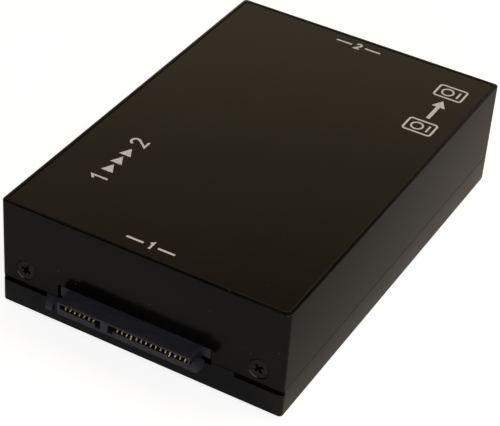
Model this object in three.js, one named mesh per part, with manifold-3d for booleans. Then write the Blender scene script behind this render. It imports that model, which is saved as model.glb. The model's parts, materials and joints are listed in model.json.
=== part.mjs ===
// Pocket hard drive duplicator: a small moulded case with a 22-way drive receptacle at each end.
// Millimetres. x runs to the right as seen from the source end, y from the source end to the
// target end, z up. The origin is in the middle of the footprint, on the surface under the feet.

import * as THREE from 'three';
import { mergeVertices } from 'three/addons/utils/BufferGeometryUtils.js';
import Module from 'manifold-3d';

const wasm = await Module();
wasm.setup();

// Case: an upper cover and a bottom tray
const caseWidth = 75;
const caseLength = 112;
const caseHeight = 29;
const wallThickness = 2;
const floorThickness = 2;
const roofThickness = 1.8;
const cornerRadius = 1;
const innerCornerRadius = 0.8;
const edgeRounding = 0.3;
const partingHeight = 7.5;      // from the underside of the case to the cover's lower edge
const partingGap = 0.12;        // the hairline between the shells
const lipThickness = 0.8;       // the tray's lip stands inside the cover's wall
const lipHeight = 1.2;
const lipClearance = 0.15;

// Pry slots beside the middle stretch of each end wall of the tray
const middleStretchWidth = 50.2;
const prySlotHeight = 1.25;
const prySlotDepth = 0.8;

// Gloss panel let into the top of the cover
const rimWidth = 0.9;
const panelThickness = 1;
const panelDrop = 0.1;          // how far the panel lies below the rim
const panelClearance = 0.15;
const panelCornerRadius = 1.2;

// Stick-on feet in shallow seats
const footDiameter = 8;
const footThickness = 1.4;
const footSeatDepth = 0.4;
const footSeatClearance = 0.3;
const footEdgeRounding = 0.5;
const footInsetX = 8;
const footInsetY = 9;

// Case screws: countersunk, cross recess, through the end walls into posts on the tray
const caseScrewInset = 6.6;     // from the side of the case
const caseScrewHeight = 11.2;   // from the underside of the case
const caseScrewHeadDiameter = 4.9;
const caseScrewDiameter = 2.5;
const caseScrewLength = 8;
const caseScrewClearance = 0.15;
const caseScrewHeadClearance = 0.25;
const caseScrewSink = 0.15;     // how far the head lies below the face of the end wall
const caseScrewTipLength = 0.6;
const caseScrewTurns = { source_left: 22, source_right: -38, target_left: -15, target_right: 27 };
const caseCrossWidth = 0.85;
const caseCrossSpan = 3.1;
const crossDepth = 1;
const crossTaperShare = 0.45;
const postWidth = 7.4;
const postDepth = 6;
const postRise = 3;             // from the screw's axis to the top of the post
const postClearance = 0.15;

// Main circuit board on four bosses
const boardThickness = 1.6;
const boardEdgeClearance = 0.5;
const boardPostClearance = 0.6;
const bossHeight = 3.9;
const bossDiameter = 6;
const boardScrewInsetX = 9;
const boardScrewInsetY = 11.8;
const boardScrewDiameter = 2.5;
const boardScrewLength = 4.4;   // below the head
const boardScrewHeadDiameter = 4.5;
const boardScrewHeadHeight = 1.7;
const boardCrossWidth = 0.6;
const boardCrossSpan = 2.4;
const boardScrewClearance = 0.2;
const boardScrewTipRoom = 0.5;

// Drive receptacles: 7 signal and 15 power contacts on a 1.27 mm pitch
const contactPitch = 1.27;
const signalContactCount = 7;
const powerContactCount = 15;
const segmentStep = 6.35;       // last signal contact to first power contact
const signalEndMargin = 1.15;   // first contact to the end of the drive's tongue
const powerEndMargin = 0.82;    // last contact to the other end of the tongue
const signalKeyMargin = 1.97;   // inner contacts to the keyed ends of the tongue
const powerKeyMargin = 2.15;
const slotClearance = 0.1;
const slotHeight = 1.3;
const slotDepth = 6.4;
const keyWidth = 1.35;
const keyDrop = 0.95;
const receptacleShift = -0.9;   // from the middle of its end wall, as seen from outside
const receptacleProtrusion = 5.1;
const receptacleDepth = 10.1;
const receptacleHeight = 3.4;
const receptacleTopWall = 0.5;
const receptacleEndWall = 0.7;
const guideWidth = 2.05;
const guideLeftGap = 1;         // between the nose of a guide and the side of the housing
const guideRightGap = 0.2;
const guideRise = 0.65;         // from the underside of the housing
const guideDrop = 1;            // from the top of the housing
const guideReach = 0.7;         // how far a nose stands out beyond the mouth
const guideGapDepth = 0.6;      // from the mouth back to where the guide meets the housing
const guideBack = 2.6;          // from the mouth back to the far side of the guide
const guideTipLength = 0.9;
const guideTipDrop = 0.7;
const guideTipNarrowing = 0.35;
const flangeInset = 0.1;        // how far the flange stands proud of the end wall
const flangeRise = 0.9;         // from the underside of the housing
const flangeReach = 2.3;        // beyond the sides of the housing
const flangeLegDepth = 3.7;     // the flange comes down onto the board this far from its back
const cutoutClearance = 0.2;
const cutoutLeftRoom = 0.85;    // the wider gap on the left, as seen from outside
const cutoutFootDrop = 0.8;     // the notch in the tray's rim below the right of the flange
const cutoutFootWidth = 2.6;
const groundContacts = [4, 12]; // the power contacts that mate first
const groundNotchWidth = 0.8;
const groundNotchDrop = 0.5;

// Contact strips of the receptacles
const contactWidth = 0.36;
const contactThickness = 0.2;
const contactSideClearance = 0.08;
const contactFaceClearance = 0.06;
const contactChannelDepth = 0.9; // below the floor of the slot: room for the spring to give
const contactLipThickness = 0.2; // what is left of the floor between mouth and channel
const contactTipSetback = 0.38;
const contactTipDrop = 0.13;    // below the floor of the slot
const contactCrownSetback = 1.25;
const contactCrownRise = 0.65;  // from the floor of the slot to the middle of the crown
const groundTipSetback = 0.08;
const groundTipDrop = 0.25;
const groundCrownSetback = 0.8;
const contactTail = 0.6;        // how far the strip stands out behind the housing
const contactFootLength = 1.3;

// Controls behind the left wall, all on one line with the power inlet
const controlHeight = 5.75;     // from the top of the main board
const controlBoardThickness = 1.6;
const controlBoardSetback = 5.6; // from the wall's inner face
const controlBoardHeight = 13.5;
const controlBoardMargin = 5.5; // beyond the outermost control

// Start button
const startButtonInset = 24;    // from the outside of the source end
const startButtonDiameter = 7;
const startButtonClearance = 0.2;
const startButtonCrown = 0.3;
const startButtonFlangeDiameter = 8.8;
const startButtonFlangeThickness = 0.8;
const startButtonTravel = 0.5;
const startButtonDishDiameter = 9.4;
const startButtonDishDepth = 0.5;
const startButtonRestGap = 0.1;
const startSwitchSize = 6;
const startSwitchDepth = 3.4;
const plungerDiameter = 3.4;
const plungerEngagement = 0.7;  // how far the plunger reaches into the switch
const plungerClearance = 0.15;

// Power switch
const powerSwitchShare = 0.735; // of the way from the start button to the power inlet
const powerSwitchLength = 9;
const powerSwitchHeight = 4.4;
const powerSwitchDepth = 3.8;
const knobLength = 2.4;         // along y
const knobHeight = 1.8;
const knobClearance = 0.15;
const knobSeatDepth = 1.2;
const knobInset = 0.2;          // the knob's end lies this far inside the wall's outer face
const knobTravel = 2.5;
const knobDishMargin = 1.4;
const knobDishDepth = 0.7;

// Status lights
const lightCount = 3;
const lightPitch = 6;
const lightsShare = 0.353;      // of the way from the start button to the power inlet
const lightDiameter = 3;
const lightClearance = 0.15;
const lightDomeHeight = 0.7;
const lightFlangeDiameter = 3.9;
const lightFlangeThickness = 1;

// Power inlet: a round socket with a centre pin
const inletScrewClearance = 1.45; // to the head of the nearest board screw
const inletWidth = 9;
const inletHeight = 11;
const inletLength = 14;
const inletCollarDiameter = 7.8;
const inletCollarInset = 0.2;
const inletClearance = 0.2;
const inletBoreDiameter = 6.3;
const inletBoreDepth = 10;
const inletPinDiameter = 2;
const inletPinSetback = 0.8;
const inletPinNose = 0.6;

// Header between the main board and the control board
const headerLength = 15.2;
const headerWidth = 2.5;
const headerHeight = 2.5;

// Components on the main board: the place as shares of the board's half width and half length
const controllerChip = { xShare: 0.114, yShare: -0.15, width: 20, length: 20, height: 1.4 };
const memoryChip = { xShare: 0.714, yShare: -0.15, width: 10.2, length: 22.2, height: 1 };
const firmwareChip = { xShare: -0.371, yShare: -0.449, width: 5.3, length: 5.3, height: 1.8 };
const regulatorChip = { xShare: -0.229, yShare: 0.673, width: 6.5, length: 6.1, height: 2.3 };
const crystalCan = { xShare: -0.343, yShare: 0.15, width: 11.4, length: 4.7, height: 3.5 };
const powerInductor = { xShare: 0.171, yShare: 0.673, width: 10, length: 10, height: 4.5 };
const inputCapacitor = { xShare: -0.343, yShare: 0.449, diameter: 8, height: 10 };
const outputCapacitor = { xShare: 0.6, yShare: 0.673, diameter: 8, height: 10 };
const capacitorGroove = 0.4;
const capacitorGrooveRise = 1.6;
const inductorCornerRadius = 1.8;
const crystalRoundShare = 0.46;

// How finely round forms are divided, and how far a cut runs past what it cuts
const cornerSteps = 4;
const roundSteps = 24;
const smallRoundSteps = 16;
const roundingSteps = 3;
const overrun = 0.5;

// Places worked out from the sizes above
const caseBottom = footThickness - footSeatDepth;
const caseTop = caseBottom + caseHeight;
const floorTop = caseBottom + floorThickness;
const partingLevel = caseBottom + partingHeight;
const trayTop = partingLevel - partingGap;
const lipTop = partingLevel + lipHeight;
const panelRecessDepth = panelThickness + panelDrop;
const cavityTop = caseTop - panelRecessDepth - roofThickness;
const halfWidth = caseWidth / 2;
const halfLength = caseLength / 2;
const wallX = halfWidth - wallThickness;
const wallY = halfLength - wallThickness;
const boardBottom = floorTop + bossHeight;
const boardTop = boardBottom + boardThickness;
const caseScrewX = halfWidth - caseScrewInset;
const caseScrewLevel = caseBottom + caseScrewHeight;
const boardScrewX = halfWidth - boardScrewInsetX;
const boardScrewY = halfLength - boardScrewInsetY;
const boardHalfWidth = wallX - boardEdgeClearance;
const boardHalfLength = wallY - boardEdgeClearance;
const controlLevel = boardTop + controlHeight;
const controlBoardFace = -wallX + controlBoardSetback;
const startButtonPlace = -halfLength + startButtonInset;
const inletPlace = boardScrewY - boardScrewHeadDiameter / 2 - inletScrewClearance - inletWidth / 2;
const lightPlace = startButtonPlace + lightsShare * (inletPlace - startButtonPlace);
const powerSwitchPlace = startButtonPlace + powerSwitchShare * (inletPlace - startButtonPlace);

// Places in a receptacle, seen from outside its end: u across, from its middle
const contactSpan = (signalContactCount + powerContactCount - 2) * contactPitch + segmentStep;
const signalStart = -contactSpan / 2;
const signalEnd = signalStart + (signalContactCount - 1) * contactPitch;
const powerStart = signalEnd + segmentStep;
const powerEnd = contactSpan / 2;
const bodyLeft = signalStart - signalEndMargin - slotClearance - receptacleEndWall;
const bodyRight = powerEnd + powerEndMargin + slotClearance + receptacleEndWall;
const flangeLeft = bodyLeft - flangeReach;
const flangeRight = bodyRight + flangeReach;
const receptacleBottom = boardTop;
const receptacleTop = receptacleBottom + receptacleHeight;
const slotTop = receptacleTop - receptacleTopWall;
const slotBottom = slotTop - slotHeight;
const receptacleFront = -halfLength - receptacleProtrusion;
const receptacleBack = receptacleFront + receptacleDepth;

const finishes = {
  coverPlastic: { color: 0x1b1b1c, roughness: 0.35, metalness: 0 },
  trayPlastic: { color: 0x212122, roughness: 0.4, metalness: 0 },
  panelAcrylic: { color: 0x120f0c, roughness: 0.08, metalness: 0 },
  receptaclePlastic: { color: 0x26272c, roughness: 0.5, metalness: 0 },
  contactGold: { color: 0xd9a441, roughness: 0.3, metalness: 1 },
  screwSteel: { color: 0x242424, roughness: 0.4, metalness: 1 },
  footRubber: { color: 0x171717, roughness: 0.8, metalness: 0 },
  boardLaminate: { color: 0x14532d, roughness: 0.5, metalness: 0 },
  inletPlastic: { color: 0x151515, roughness: 0.45, metalness: 0 },
  nickel: { color: 0xb9b9bd, roughness: 0.25, metalness: 1 },
  buttonPlastic: { color: 0x2d2e30, roughness: 0.5, metalness: 0 },
  knobPlastic: { color: 0xd8d8d4, roughness: 0.5, metalness: 0 },
  chipPlastic: { color: 0x1a1a1b, roughness: 0.6, metalness: 0 },
  canAluminium: { color: 0xa9acb0, roughness: 0.35, metalness: 1 },
  ferrite: { color: 0x3a3a3c, roughness: 0.7, metalness: 0 },
  greenLens: { color: 0x3f8f55, roughness: 0.2, metalness: 0 },
  blueLens: { color: 0x3f6fb0, roughness: 0.2, metalness: 0 },
  redLens: { color: 0xa8403a, roughness: 0.2, metalness: 0 },
};
const materials = Object.fromEntries(
  Object.entries(finishes).map(([name, finish]) => [name, new THREE.MeshStandardMaterial(finish)]),
);

// Solids: a closed geometry becomes a solid, and solids are joined and cut
function solidOf(shape) {
  if (!(shape instanceof THREE.BufferGeometry)) return shape;
  const bare = shape.clone();
  bare.deleteAttribute('normal');
  bare.deleteAttribute('uv');
  const merged = mergeVertices(bare);
  const corners = merged.index.array;
  const kept = [];
  for (let i = 0; i < corners.length; i += 3) {
    const [a, b, c] = [corners[i], corners[i + 1], corners[i + 2]];
    if (a !== b && b !== c && c !== a) kept.push(a, b, c);
  }
  return new wasm.Manifold(new wasm.Mesh({
    numProp: 3,
    vertProperties: Float32Array.from(merged.attributes.position.array),
    triVerts: Uint32Array.from(kept),
  }));
}

function cut(shape, tools) {
  return tools.reduce((left, tool) => left.subtract(solidOf(tool)), solidOf(shape));
}

function join(shape, additions) {
  return additions.reduce((whole, addition) => whole.add(solidOf(addition)), solidOf(shape));
}

function geometryOf(shape) {
  const mesh = solidOf(shape).getMesh();
  const geometry = new THREE.BufferGeometry();
  geometry.setAttribute('position', new THREE.BufferAttribute(Float32Array.from(mesh.vertProperties), 3));
  geometry.setIndex(new THREE.BufferAttribute(Uint32Array.from(mesh.triVerts), 1));
  const faceted = geometry.toNonIndexed();
  faceted.computeVertexNormals();
  return faceted;
}

function piece(name, shape, material) {
  const mesh = new THREE.Mesh(geometryOf(shape), material);
  mesh.name = name;
  return mesh;
}

// Basic shapes, each a closed three.js geometry
function block(low, high) {
  const size = high.map((value, i) => value - low[i]);
  return new THREE.BoxGeometry(...size)
    .translate(low[0] + size[0] / 2, low[1] + size[1] / 2, low[2] + size[2] / 2);
}

function roundedOutline(width, length, radius) {
  const [x, y] = [width / 2 - radius, length / 2 - radius];
  const outline = new THREE.Shape();
  outline.absarc(x, y, radius, 0, Math.PI / 2);
  outline.absarc(-x, y, radius, Math.PI / 2, Math.PI);
  outline.absarc(-x, -y, radius, Math.PI, Math.PI * 1.5);
  outline.absarc(x, -y, radius, Math.PI * 1.5, Math.PI * 2);
  return outline;
}

function roundedSlab(width, length, radius, low, high, rounding = 0) {
  const rounded = rounding > 0;
  const slab = new THREE.ExtrudeGeometry(roundedOutline(width, length, radius), {
    depth: high - low - 2 * rounding,
    curveSegments: cornerSteps,
    bevelEnabled: rounded,
    bevelSize: rounding,
    bevelThickness: rounding,
    bevelOffset: -rounding,
    bevelSegments: roundingSteps,
  });
  return slab.translate(0, 0, low + rounding);
}

// A turned shape on the y axis: the profile runs from its low end on the axis to its high end
function turned(profile, steps = roundSteps) {
  const points = profile.map(([radius, along]) => new THREE.Vector2(radius, along));
  return new THREE.LatheGeometry(points, steps);
}

const turnedAlongX = (profile, steps) => turned(profile, steps).rotateZ(-Math.PI / 2);
const turnedAlongZ = (profile, steps) => turned(profile, steps).rotateX(Math.PI / 2);

const pin = (radius, low, high) => [[0, low], [radius, low], [radius, high], [0, high]];

// A prism along x whose outline is given in y and z
function prismAlongX(outline, low, high) {
  const shape = new THREE.Shape(outline.map(([y, z]) => new THREE.Vector2(y, z)));
  const prism = new THREE.ExtrudeGeometry(shape, { depth: high - low, bevelEnabled: false });
  const turn = new THREE.Matrix4().makeBasis(
    new THREE.Vector3(0, 1, 0),
    new THREE.Vector3(0, 0, 1),
    new THREE.Vector3(1, 0, 0),
  );
  return prism.applyMatrix4(turn).translate(low, 0, 0);
}

// The outline of a bent strip from the line through its middle
function stripOutline(middle, thickness) {
  const points = middle.map(([a, b]) => new THREE.Vector2(a, b));
  const left = [];
  const right = [];
  points.forEach((point, i) => {
    const before = points[Math.max(i - 1, 0)];
    const after = points[Math.min(i + 1, points.length - 1)];
    const arriving = point.clone().sub(before).normalize();
    const leaving = after.clone().sub(point).normalize();
    const along = arriving.clone().add(leaving).normalize();
    const across = new THREE.Vector2(-along.y, along.x);
    const lean = Math.max(across.dot(new THREE.Vector2(-leaving.y, leaving.x)),
      across.dot(new THREE.Vector2(-arriving.y, arriving.x)));
    const reach = thickness / 2 / lean;
    left.push([point.x + across.x * reach, point.y + across.y * reach]);
    right.push([point.x - across.x * reach, point.y - across.y * reach]);
  });
  return [...left, ...right.reverse()];
}

const atBothEnds = (shapes) => [...shapes, ...shapes.map((shape) => shape.clone().rotateZ(Math.PI))];

const fourPlaces = (x, y) => [[-x, -y], [x, -y], [-x, y], [x, y]];

// Case
const caseBlank = () => roundedSlab(caseWidth, caseLength, cornerRadius, caseBottom, caseTop, edgeRounding);

const caseInside = (growth, low, high) => roundedSlab(
  caseWidth - 2 * wallThickness + 2 * growth,
  caseLength - 2 * wallThickness + 2 * growth,
  innerCornerRadius + growth,
  low,
  high,
);

const everythingBetween = (low, high) => block(
  [-caseWidth, -caseLength, low],
  [caseWidth, caseLength, high],
);

function receptacleCutouts() {
  const left = receptacleShift + flangeLeft - cutoutLeftRoom;
  const right = receptacleShift + flangeRight + cutoutClearance;
  const low = Math.min(trayTop, receptacleBottom - partingGap);
  return atBothEnds([
    block(
      [left, -halfLength - overrun, low],
      [right, -wallY + overrun, receptacleTop + cutoutClearance],
    ),
    block(
      [right - cutoutFootWidth, -halfLength - overrun, low - cutoutFootDrop],
      [right, -wallY + overrun, low + overrun],
    ),
  ]);
}

function caseScrewSeats() {
  const headRadius = caseScrewHeadDiameter / 2 + caseScrewHeadClearance;
  const holeRadius = caseScrewDiameter / 2 + caseScrewClearance;
  const seat = turned([
    [0, -overrun],
    [headRadius, -overrun],
    [headRadius, 0],
    [holeRadius, headRadius - holeRadius],
    [holeRadius, wallThickness + overrun],
    [0, wallThickness + overrun],
  ]);
  const seats = [-caseScrewX, caseScrewX].map((x) => (
    seat.clone().translate(x, -halfLength, caseScrewLevel)
  ));
  return atBothEnds(seats);
}

function startButtonHole() {
  const holeRadius = startButtonDiameter / 2 + startButtonClearance;
  const dishRadius = startButtonDishDiameter / 2;
  const dishFloorRadius = (dishRadius + holeRadius) / 2;
  return turnedAlongX([
    [0, -halfWidth - overrun], [dishRadius, -halfWidth - overrun], [dishRadius, -halfWidth],
    [dishFloorRadius, -halfWidth + startButtonDishDepth], [holeRadius, -halfWidth + startButtonDishDepth],
    [holeRadius, -wallX + overrun], [0, -wallX + overrun],
  ]).translate(0, startButtonPlace, controlLevel);
}

function powerSwitchHole() {
  const slotHalf = knobLength / 2 + knobTravel / 2 + knobClearance;
  const slotRise = knobHeight / 2 + knobClearance;
  const slotMiddle = powerSwitchPlace;
  const slot = block(
    [-halfWidth - overrun, slotMiddle - slotHalf, controlLevel - slotRise],
    [-wallX + overrun, slotMiddle + slotHalf, controlLevel + slotRise],
  );
  const dishHalf = slotHalf + knobDishMargin;
  const dishRise = slotRise + knobDishMargin;
  const dish = block(
    [-halfWidth - overrun, slotMiddle - dishHalf, controlLevel - dishRise],
    [-halfWidth + knobDishDepth, slotMiddle + dishHalf, controlLevel + dishRise],
  );
  return [slot, dish];
}

function lightPlaces() {
  return Array.from({ length: lightCount }, (_, i) => lightPlace + (i - (lightCount - 1) / 2) * lightPitch);
}

const sideHole = (radius, y, steps) => turnedAlongX(
  pin(radius, -halfWidth - overrun, -wallX + overrun),
  steps,
).translate(0, y, controlLevel);

function upperCover() {
  const recess = roundedSlab(
    caseWidth - 2 * rimWidth,
    caseLength - 2 * rimWidth,
    panelCornerRadius + panelClearance,
    caseTop - panelRecessDepth,
    caseTop + overrun,
  );
  return cut(caseBlank(), [
    everythingBetween(caseBottom - overrun, partingLevel),
    caseInside(0, caseBottom, cavityTop),
    caseInside(lipThickness + lipClearance, caseBottom, lipTop),
    recess,
    ...receptacleCutouts(),
    ...caseScrewSeats(),
    startButtonHole(),
    ...powerSwitchHole(),
    ...lightPlaces().map((y) => sideHole(lightDiameter / 2 + lightClearance, y, smallRoundSteps)),
    sideHole(inletCollarDiameter / 2 + inletClearance, inletPlace),
  ]);
}

function topPanel() {
  return roundedSlab(
    caseWidth - 2 * rimWidth - 2 * panelClearance,
    caseLength - 2 * rimWidth - 2 * panelClearance,
    panelCornerRadius,
    caseTop - panelRecessDepth,
    caseTop - panelDrop,
  );
}

// A post in the tray behind an end wall, with the pilot hole that its case screw bites into
function screwPost(x) {
  const side = Math.sign(x);
  const [inner, outer] = [x - side * postWidth / 2, side * (wallX + overrun)];
  const foot = block(
    [Math.min(inner, outer), -wallY - overrun, floorTop - overrun],
    [Math.max(inner, outer), -wallY + postClearance + postDepth, trayTop],
  );
  const head = block(
    [x - postWidth / 2, -wallY + postClearance, floorTop - overrun],
    [x + postWidth / 2, -wallY + postClearance + postDepth, caseScrewLevel + postRise],
  );
  return [foot, head];
}

function bottomTray() {
  const lip = cut(caseInside(lipThickness, trayTop - overrun, lipTop), [
    caseInside(0, caseBottom, lipTop + overrun),
  ]);
  const shell = cut(caseBlank(), [
    everythingBetween(trayTop, caseTop + overrun),
    caseInside(0, floorTop, caseTop),
  ]);
  const posts = atBothEnds([-caseScrewX, caseScrewX].flatMap(screwPost));
  const boss = turnedAlongZ(pin(bossDiameter / 2, floorTop - overrun, boardBottom));
  const bosses = fourPlaces(boardScrewX, boardScrewY).map(([x, y]) => boss.clone().translate(x, y, 0));
  const pilot = turned(
    pin(
      caseScrewDiameter / 2 + caseScrewClearance,
      wallThickness,
      wallThickness + postClearance + postDepth + overrun,
    ),
    smallRoundSteps,
  );
  const pilots = atBothEnds([-caseScrewX, caseScrewX].map((x) => (
    pilot.clone().translate(x, -halfLength, caseScrewLevel)
  )));
  const bossHole = turnedAlongZ(
    pin(
      boardScrewDiameter / 2 + boardScrewClearance,
      boardTop - boardScrewLength - boardScrewTipRoom,
      boardBottom + overrun,
    ),
    smallRoundSteps,
  );
  const bossHoles = fourPlaces(boardScrewX, boardScrewY).map(([x, y]) => (
    bossHole.clone().translate(x, y, 0)
  ));
  const footSeat = turnedAlongZ(
    pin(footDiameter / 2 + footSeatClearance, caseBottom - overrun, caseBottom + footSeatDepth),
  );
  const footSeats = fourPlaces(halfWidth - footInsetX, halfLength - footInsetY).map(([x, y]) => (
    footSeat.clone().translate(x, y, 0)
  ));
  const prySlots = atBothEnds([-1, 1].map((side) => {
    const [inner, outer] = [side * middleStretchWidth / 2, side * (halfWidth + overrun)];
    return block(
      [Math.min(inner, outer), -halfLength - overrun, trayTop - prySlotHeight],
      [Math.max(inner, outer), -halfLength + prySlotDepth, trayTop + overrun],
    );
  }));
  const outside = cut(everythingBetween(caseBottom, caseTop), [caseBlank()]);
  return cut(join(shell, [lip, ...posts, ...bosses]), [
    outside,
    ...receptacleCutouts(),
    ...pilots,
    ...bossHoles,
    ...footSeats,
    ...prySlots,
  ]);
}

function rubberFoot() {
  const radius = footDiameter / 2;
  return turnedAlongZ([
    [0, 0],
    [radius - footEdgeRounding, 0],
    [radius, footEdgeRounding],
    [radius, footThickness],
    [0, footThickness],
  ]);
}

// Screws, drawn with the face of the head at zero and the shank along +y
function crossRecess(span, width, depth, headFace) {
  const arm = () => new THREE.CylinderGeometry(
    Math.SQRT1_2, Math.SQRT1_2 * crossTaperShare, depth + overrun, 4,
  ).rotateY(Math.PI / 4).rotateX(Math.PI);
  return [[span, width], [width, span]].map(([x, z]) => arm()
    .scale(x, 1, z)
    .translate(0, headFace + (depth - overrun) / 2, 0));
}

function caseScrew() {
  const headRadius = caseScrewHeadDiameter / 2;
  const shankRadius = caseScrewDiameter / 2;
  return cut(turned([
    [0, 0], [headRadius, 0], [shankRadius, headRadius - shankRadius],
    [shankRadius, caseScrewLength - caseScrewTipLength],
    [shankRadius - caseScrewTipLength, caseScrewLength], [0, caseScrewLength],
  ]), crossRecess(caseCrossSpan, caseCrossWidth, crossDepth, 0));
}

function boardScrew() {
  const headRadius = boardScrewHeadDiameter / 2;
  const shankRadius = boardScrewDiameter / 2;
  return cut(turned([
    [0, -boardScrewHeadHeight], [headRadius - boardScrewHeadHeight / 2, -boardScrewHeadHeight],
    [headRadius, -boardScrewHeadHeight / 2], [headRadius, 0], [shankRadius, 0],
    [shankRadius, boardScrewLength], [0, boardScrewLength],
  ], smallRoundSteps), crossRecess(boardCrossSpan, boardCrossWidth, crossDepth, -boardScrewHeadHeight));
}

// Boards
function circuitBoard() {
  const notchX = caseScrewX - postWidth / 2 - boardPostClearance;
  const notchY = wallY - postClearance - postDepth - boardPostClearance;
  const cornerX = (notchX + halfWidth) / 2;
  const cornerY = (notchY + halfLength) / 2;
  const corner = block(
    [notchX - cornerX, notchY - cornerY, boardBottom - overrun],
    [halfWidth - cornerX, halfLength - cornerY, boardTop + overrun],
  );
  const corners = fourPlaces(cornerX, cornerY).map(([x, y]) => corner.clone().translate(x, y, 0));
  const hole = turnedAlongZ(
    pin(boardScrewDiameter / 2 + boardScrewClearance, boardBottom - overrun, boardTop + overrun),
    smallRoundSteps,
  );
  const holes = fourPlaces(boardScrewX, boardScrewY).map(([x, y]) => hole.clone().translate(x, y, 0));
  const sheet = block(
    [-boardHalfWidth, -boardHalfLength, boardBottom],
    [boardHalfWidth, boardHalfLength, boardTop],
  );
  return cut(sheet, [...corners, ...holes]);
}

function controlBoard() {
  return block(
    [controlBoardFace, startButtonPlace - controlBoardMargin, boardTop],
    [
      controlBoardFace + controlBoardThickness,
      powerSwitchPlace + controlBoardMargin,
      boardTop + controlBoardHeight,
    ],
  );
}

function boardHeader() {
  const back = controlBoardFace + controlBoardThickness;
  return block(
    [back, lightPlace - headerLength / 2, boardTop],
    [back + headerWidth, lightPlace + headerLength / 2, boardTop + headerHeight],
  );
}

// Drive receptacle, at the source end: the drive's tongues enter it from -y
function contactPlaces() {
  const signal = Array.from({ length: signalContactCount }, (_, i) => ({
    name: `signal_contact_${i + 1}`,
    u: signalStart + i * contactPitch,
    ground: false,
  }));
  const power = Array.from({ length: powerContactCount }, (_, i) => ({
    name: `power_contact_${i + 1}`,
    u: powerStart + i * contactPitch,
    ground: groundContacts.includes(i + 1),
  }));
  return [...signal, ...power];
}

function contactStrip(ground) {
  const tipSetback = ground ? groundTipSetback : contactTipSetback;
  const tipDrop = ground ? groundTipDrop : contactTipDrop;
  const crownPlace = receptacleFront + (ground ? groundCrownSetback : contactCrownSetback);
  const crown = slotBottom + contactCrownRise;
  const run = slotBottom - contactFaceClearance - contactThickness / 2;
  const back = receptacleBack + contactTail;
  const onBoard = boardTop + contactThickness / 2;
  const middle = [
    [receptacleFront + tipSetback, slotBottom - tipDrop],
    [crownPlace - contactThickness, crown - contactThickness * 0.75],
    [crownPlace, crown],
    [crownPlace + contactThickness * 2, crown - contactThickness / 2],
    [receptacleFront + slotDepth, run],
    [back - contactThickness, run],
    [back, run - contactThickness],
    [back, onBoard + contactThickness],
    [back + contactThickness, onBoard],
    [back + contactFootLength, onBoard],
  ];
  return prismAlongX(stripOutline(middle, contactThickness), -contactWidth / 2, contactWidth / 2);
}

function drivePorts() {
  const floor = slotBottom;
  const back = receptacleFront + slotDepth;
  const front = receptacleFront - overrun;
  const keyFloor = slotBottom - keyDrop;
  const signalLeft = bodyLeft + receptacleEndWall;
  const signalRight = signalEnd + signalKeyMargin + slotClearance;
  const powerLeft = powerStart - powerKeyMargin - slotClearance;
  const powerRight = bodyRight - receptacleEndWall;
  return [
    block([signalLeft, front, floor], [signalRight, back, slotTop]),
    block([powerLeft, front, floor], [powerRight, back, slotTop]),
    block([signalRight - keyWidth, front, keyFloor], [signalRight, back, slotTop]),
    block([powerLeft, front, keyFloor], [powerLeft + keyWidth, back, slotTop]),
  ];
}

// A guide beside the mouth: its nose is narrowed on the outside and drops away on top
function mouthGuide(side) {
  const wall = side < 0 ? bodyLeft : bodyRight;
  const inner = wall + side * (side < 0 ? guideLeftGap : guideRightGap);
  const outer = inner + side * guideWidth;
  const tip = receptacleFront - guideReach;
  const gapBack = receptacleFront + guideGapDepth;
  const back = receptacleFront + guideBack;
  const low = receptacleBottom + guideRise;
  const top = receptacleTop - guideDrop;
  const plan = new THREE.Shape([
    [inner, tip],
    [outer - side * guideTipNarrowing, tip],
    [outer, tip + guideTipLength],
    [outer, back],
    [wall - side * overrun, back],
    [wall - side * overrun, gapBack],
    [inner, gapBack],
  ].map(([x, y]) => new THREE.Vector2(x, y)));
  const guide = new THREE.ExtrudeGeometry(plan, { depth: top - low, bevelEnabled: false })
    .translate(0, 0, low);
  const above = prismAlongX([
    [tip - overrun, top - guideTipDrop],
    [tip, top - guideTipDrop],
    [tip + guideTipLength, top],
    [tip + guideTipLength, top + overrun],
    [tip - overrun, top + overrun],
  ], Math.min(wall, outer) - overrun, Math.max(wall, outer) + overrun);
  return cut(guide, [above]);
}

function receptacleHousing(contactsFused) {
  const body = block(
    [bodyLeft, receptacleFront, receptacleBottom],
    [bodyRight, receptacleBack, receptacleTop],
  );
  const flange = block(
    [flangeLeft, -halfLength - flangeInset, receptacleBottom + flangeRise],
    [flangeRight, receptacleBack, receptacleTop],
  );
  const legs = block(
    [flangeLeft, receptacleBack - flangeLegDepth, receptacleBottom],
    [flangeRight, receptacleBack, receptacleTop],
  );
  const slotBack = receptacleFront + slotDepth;
  const channelHalf = contactWidth / 2 + contactSideClearance;
  const channels = contactPlaces().map(({ u }) => block(
    [u - channelHalf, receptacleFront + contactLipThickness, slotBottom - contactChannelDepth],
    [u + channelHalf, slotBack, slotBottom + overrun / 2],
  ));
  const passages = contactPlaces().map(({ u }) => block(
    [u - channelHalf, slotBack - overrun / 2, slotBottom - contactThickness - 2 * contactFaceClearance],
    [u + channelHalf, receptacleBack + overrun, slotBottom],
  ));
  const notches = contactPlaces().filter(({ ground }) => ground).map(({ u }) => block(
    [u - groundNotchWidth / 2, receptacleFront - overrun, slotBottom - groundNotchDrop],
    [u + groundNotchWidth / 2, receptacleFront + contactLipThickness + overrun, slotBottom + overrun / 2],
  ));
  const openings = [...drivePorts(), ...channels, ...notches, ...(contactsFused ? [] : passages)];
  const shell = cut(join(body, [flange, legs, mouthGuide(-1), mouthGuide(1)]), openings);
  if (!contactsFused) return shell;
  return join(shell, contactPlaces().map(({ u, ground }) => contactStrip(ground).translate(u, 0, 0)));
}

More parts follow.
